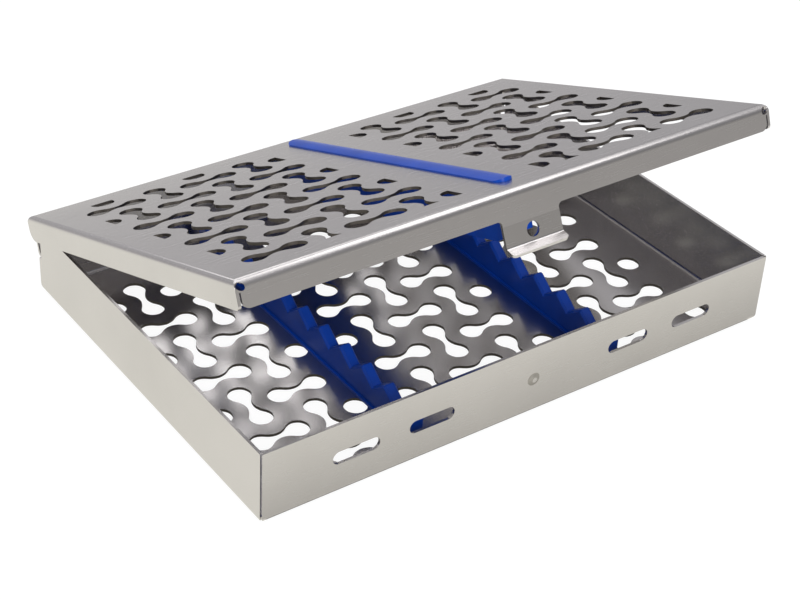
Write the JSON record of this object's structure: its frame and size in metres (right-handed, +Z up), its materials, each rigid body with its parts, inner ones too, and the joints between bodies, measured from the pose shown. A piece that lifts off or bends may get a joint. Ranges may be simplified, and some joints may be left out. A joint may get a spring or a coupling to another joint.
{
  "type": "sterilization cassette",
  "caption": "Perforated folded steel tray with a hinged lid, notched silicone rails that hold hand instruments apart, and a silicone bar that presses them down.",
  "frame": {"origin": "middle of the tray's underside", "axes": "+X to the right along the width, -Y to the front where the catch is, +Z up; the lid's hinge runs along X at the rear"},
  "size_m": [0.2028, 0.1474, 0.0773],
  "materials": {
    "tray_steel": "satin brushed stainless steel",
    "lid_steel": "satin brushed stainless steel",
    "hinge_steel": "plain rolled stainless steel",
    "pin_steel": "drawn steel wire",
    "rail_silicone": "moulded silicone",
    "bar_silicone": "moulded silicone"
  },
  "bodies": {
    "base": {"tray": "tray_steel", "rail_left": "rail_silicone", "rail_right": "rail_silicone", "hinge_leaf_tray": "hinge_steel", "hinge_pin": "pin_steel"},
    "lid": {"lid": "lid_steel", "hold_down_bar": "bar_silicone", "hinge_leaf_lid": "hinge_steel"}
  },
  "joints": [
    {"name": "lid_hinge", "type": "hinge", "parent": "base", "child": "lid", "pos_m": [0, 0.0734, 0.01375], "axis": [-1, 0, 0], "range_deg": [-20.6, 149.4]}
  ]
}
